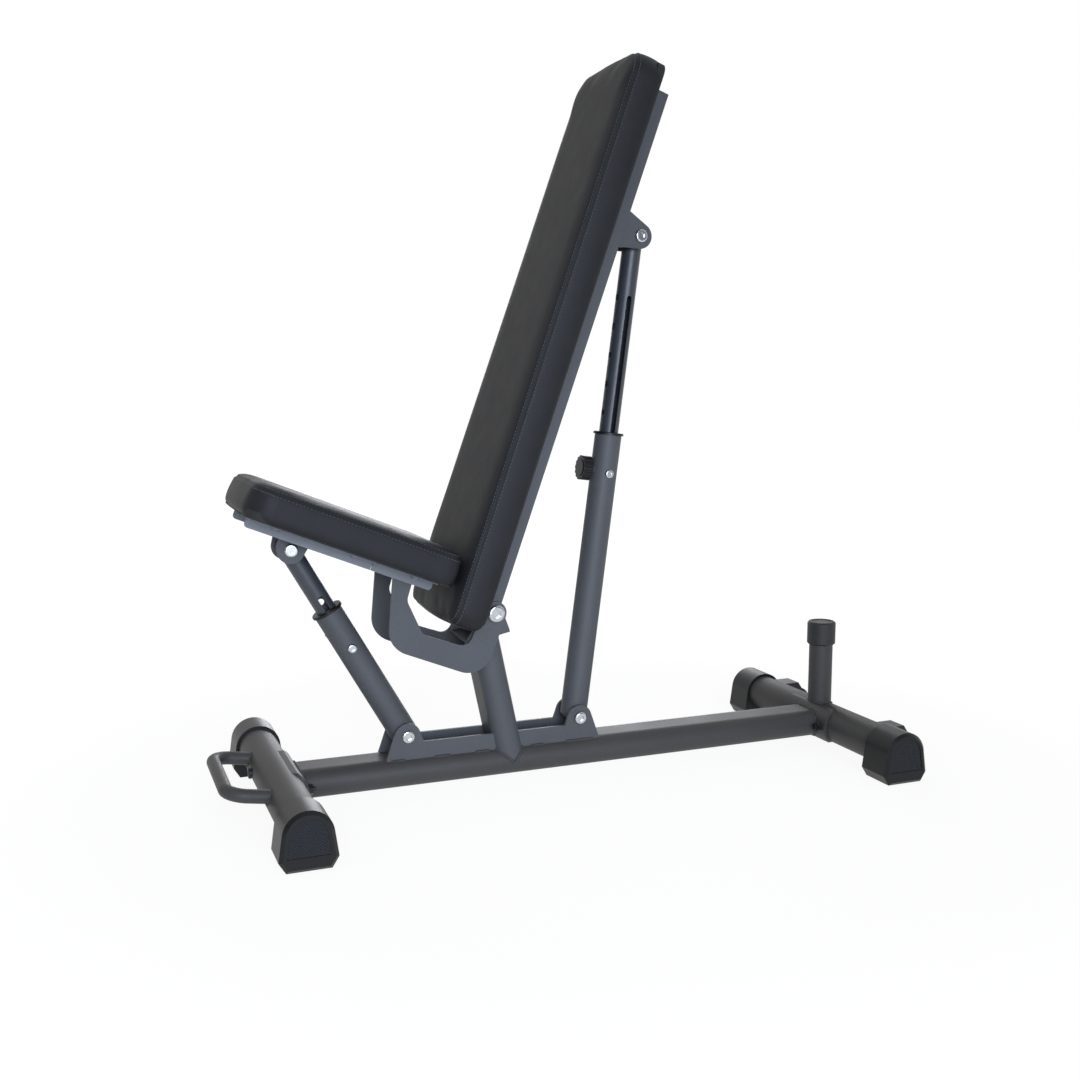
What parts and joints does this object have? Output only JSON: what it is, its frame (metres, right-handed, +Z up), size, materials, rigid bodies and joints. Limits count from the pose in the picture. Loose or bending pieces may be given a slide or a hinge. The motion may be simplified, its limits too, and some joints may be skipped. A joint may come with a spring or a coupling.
{
  "type": "adjustable weight bench",
  "caption": "Adjustable weight bench: padded seat and tall back on one pivot, each propped by a telescopic strut with a pull pin, on a steel beam with capped cross feet, handle and wheels.",
  "frame": {"origin": "on the floor under the centre of the bench's overall box", "axes": "+X towards the rear feet, +Y to the sitter's right, +Z up"},
  "size_m": [1.3875, 0.606, 1.3892],
  "materials": {
    "powder_coated_frame": "fine-textured satin powder coat, anthracite",
    "gloss_painted_tube": "smooth dark paint, semi-gloss",
    "moulded_plastic": "stippled matte black",
    "black_rubber": "matte black",
    "black_vinyl": "black, grained, soft-sheen vinyl",
    "board_backing": "plywood board closed with black non-woven cloth",
    "zinc_plated_steel": "bright zinc plating",
    "black_fasteners": "black oxide"
  },
  "bodies": {
    "base": {"main_beam": "powder_coated_frame", "front_saddle_plate": "powder_coated_frame", "rear_saddle_plate": "powder_coated_frame", "front_cross_tube": "powder_coated_frame", "rear_cross_tube": "powder_coated_frame", "front_foot_cap_left": "moulded_plastic", "front_foot_cap_right": "moulded_plastic", "rear_foot_cap_left": "moulded_plastic", "rear_foot_cap_right": "moulded_plastic", "saddle_bolts": "black_fasteners", "carry_handle": "powder_coated_frame", "stop_post": "powder_coated_frame", "stop_post_cap": "black_rubber", "upright_post": "powder_coated_frame", "post_head": "powder_coated_frame", "main_pivot_bolt": "zinc_plated_steel", "front_strut_plate_left": "powder_coated_frame", "front_strut_plate_right": "powder_coated_frame", "rear_strut_plate_left": "powder_coated_frame", "rear_strut_plate_right": "powder_coated_frame", "strut_base_bolts": "zinc_plated_steel", "wheel_bracket_left": "black_fasteners", "wheel_bracket_right": "black_fasteners", "wheel_axles": "black_fasteners"},
    "left_wheel": {"transport_wheel_left": "black_rubber"},
    "right_wheel": {"transport_wheel_right": "black_rubber"},
    "seat": {"seat_pad": "black_vinyl", "seat_board": "board_backing", "seat_front_rail_left": "powder_coated_frame", "seat_front_rail_right": "powder_coated_frame", "seat_rear_rail_left": "powder_coated_frame", "seat_rear_rail_right": "powder_coated_frame", "seat_hook_plate_left": "powder_coated_frame", "seat_hook_plate_right": "powder_coated_frame", "seat_rear_bridge": "powder_coated_frame", "seat_strut_bracket": "powder_coated_frame", "seat_strut_bolt": "zinc_plated_steel", "seat_pad_screws": "black_fasteners"},
    "back": {"back_pad": "black_vinyl", "back_board": "board_backing", "back_rail_left": "powder_coated_frame", "back_rail_right": "powder_coated_frame", "back_bridges": "powder_coated_frame", "back_strut_bracket": "powder_coated_frame", "back_strut_bolts": "zinc_plated_steel", "back_pad_screws": "black_fasteners"},
    "seat_sleeve": {"seat_strut_sleeve": "powder_coated_frame", "seat_strut_collar": "moulded_plastic", "seat_strut_stop_screw": "zinc_plated_steel"},
    "seat_inner": {"seat_strut_inner_tube": "gloss_painted_tube"},
    "seat_pin": {"seat_strut_lock_pin": "zinc_plated_steel", "seat_strut_knob": "moulded_plastic"},
    "back_sleeve": {"back_strut_sleeve": "powder_coated_frame", "back_strut_collar": "moulded_plastic", "back_strut_stop_screw": "zinc_plated_steel"},
    "back_inner": {"back_strut_inner_tube": "gloss_painted_tube"},
    "back_pin": {"back_strut_lock_pin": "zinc_plated_steel", "back_strut_knob": "moulded_plastic"}
  },
  "joints": [
    {"name": "back_tilt", "type": "hinge", "parent": "base", "child": "back", "pos_m": [-0.17276, 0, 0.3564], "axis": [0, 1, 0], "range_deg": [0, 70.3]},
    {"name": "seat_tilt", "type": "hinge", "parent": "base", "child": "seat", "pos_m": [-0.17276, 0, 0.3564], "axis": [0, -1, 0], "range_deg": [0, 22]},
    {"name": "back_strut_swing", "type": "hinge", "parent": "base", "child": "back_sleeve", "pos_m": [0.01525, 0, 0.126], "axis": [0, 1, 0], "range_deg": [0, 65.79]},
    {"name": "back_strut_slide", "type": "slide", "parent": "back_sleeve", "child": "back_inner", "axis": [-0.1315, 0, -0.9913], "range_m": [0, 0.33721]},
    {"name": "seat_strut_swing", "type": "hinge", "parent": "base", "child": "seat_sleeve", "pos_m": [-0.33675, 0, 0.126], "axis": [0, -1, 0], "range_deg": [0, 17.37]},
    {"name": "seat_strut_slide", "type": "slide", "parent": "seat_sleeve", "child": "seat_inner", "axis": [0.4967, 0, -0.8679], "range_m": [0, 0.10388]},
    {"name": "back_pin_pull", "type": "slide", "parent": "back_sleeve", "child": "back_pin", "axis": [-0.9913, 0, 0.1315], "range_m": [-0.0045, 0.009], "stiffness_N_per_m": 900, "springref_m": -0.0045},
    {"name": "seat_pin_pull", "type": "slide", "parent": "seat_sleeve", "child": "seat_pin", "axis": [0, 1, 0], "range_m": [-0.0045, 0.009], "stiffness_N_per_m": 900, "springref_m": -0.0045},
    {"name": "left_wheel_roll", "type": "hinge", "parent": "base", "child": "left_wheel", "pos_m": [0.66575, -0.193, 0.045], "axis": [0, 1, 0], "continuous": true},
    {"name": "right_wheel_roll", "type": "hinge", "parent": "base", "child": "right_wheel", "pos_m": [0.66575, 0.193, 0.045], "axis": [0, 1, 0], "continuous": true}
  ],
  "couplings": [
    {"joint": "back_strut_swing", "follows": "back_tilt", "ratio": 0.93559},
    {"joint": "back_strut_slide", "follows": "back_tilt", "m_per_rad": 0.27475},
    {"joint": "seat_strut_swing", "follows": "seat_tilt", "ratio": 0.7887},
    {"joint": "seat_strut_slide", "follows": "seat_tilt", "m_per_rad": 0.27027}
  ]
}
